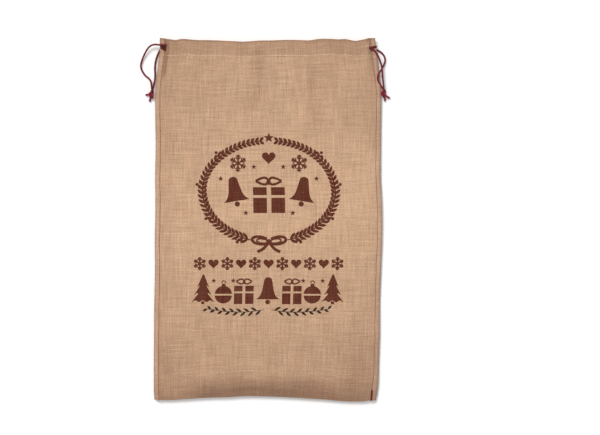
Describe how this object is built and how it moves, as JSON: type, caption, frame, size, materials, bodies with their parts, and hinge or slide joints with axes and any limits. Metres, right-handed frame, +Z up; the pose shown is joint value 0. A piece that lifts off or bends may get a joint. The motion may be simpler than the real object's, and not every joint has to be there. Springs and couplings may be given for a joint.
{
  "type": "drawstring gift sack",
  "caption": "Flat jute drawstring gift sack, folded at the bottom and sewn up its sides, with a stitched casing round the mouth and knotted cords at the sides that draw it closed.",
  "frame": {"origin": "on the surface that the empty sack lies on, under the centre of its outline", "axes": "+X across the sack towards its right side as seen from the front, +Y from the bottom fold to the mouth, +Z up, out of the printed front"},
  "size_m": [0.5563, 0.8, 0.0209],
  "materials": {
    "jute_cloth": "coarse plain weave, matte",
    "cord": "braided burgundy cord, matte",
    "seam_thread": "rust red sewing thread, matte",
    "casing_thread": "jute-coloured sewing thread, matte"
  },
  "bodies": {
    "sack": {"back_panel": "jute_cloth", "front_panel": "jute_cloth", "bottom_fold": "jute_cloth", "left_side_seam": "jute_cloth", "right_side_seam": "jute_cloth", "front_casing": "jute_cloth", "back_casing": "jute_cloth", "left_seam_stitches": "seam_thread", "right_seam_stitches": "seam_thread", "front_casing_stitches": "casing_thread", "back_casing_stitches": "casing_thread", "right_bottom_tack": "seam_thread"},
    "left_cord": {"left_cord_run": "cord", "left_front_strand": "cord", "left_back_strand": "cord", "left_knot": "cord", "left_cord_tails": "cord"},
    "right_cord": {"right_cord_run": "cord", "right_front_strand": "cord", "right_back_strand": "cord", "right_knot": "cord", "right_cord_tails": "cord"},
    "left_corner": {"left_mouth_corner": "jute_cloth", "left_exit_tack": "seam_thread"},
    "right_corner": {"right_mouth_corner": "jute_cloth", "right_exit_tack": "seam_thread"}
  },
  "joints": [
    {"name": "left_cord_pull", "type": "slide", "parent": "sack", "child": "left_cord", "axis": [-1, 0, 0], "range_m": [0, 0.14]},
    {"name": "right_mouth_gather", "type": "slide", "parent": "sack", "child": "right_corner", "axis": [-1, 0, 0], "range_m": [0, 0.14], "deforming": ["front_panel", "back_panel", "right_side_seam", "right_seam_stitches", "front_casing", "back_casing", "front_casing_stitches", "back_casing_stitches"]},
    {"name": "right_cord_pull", "type": "slide", "parent": "sack", "child": "right_cord", "axis": [1, 0, 0], "range_m": [0, 0.14]},
    {"name": "left_mouth_gather", "type": "slide", "parent": "sack", "child": "left_corner", "axis": [1, 0, 0], "range_m": [0, 0.14], "deforming": ["front_panel", "back_panel", "left_side_seam", "left_seam_stitches", "front_casing", "back_casing", "front_casing_stitches", "back_casing_stitches"]}
  ],
  "couplings": [
    {"joint": "right_mouth_gather", "follows": "left_cord_pull", "ratio": 1},
    {"joint": "left_mouth_gather", "follows": "right_cord_pull", "ratio": 1}
  ]
}
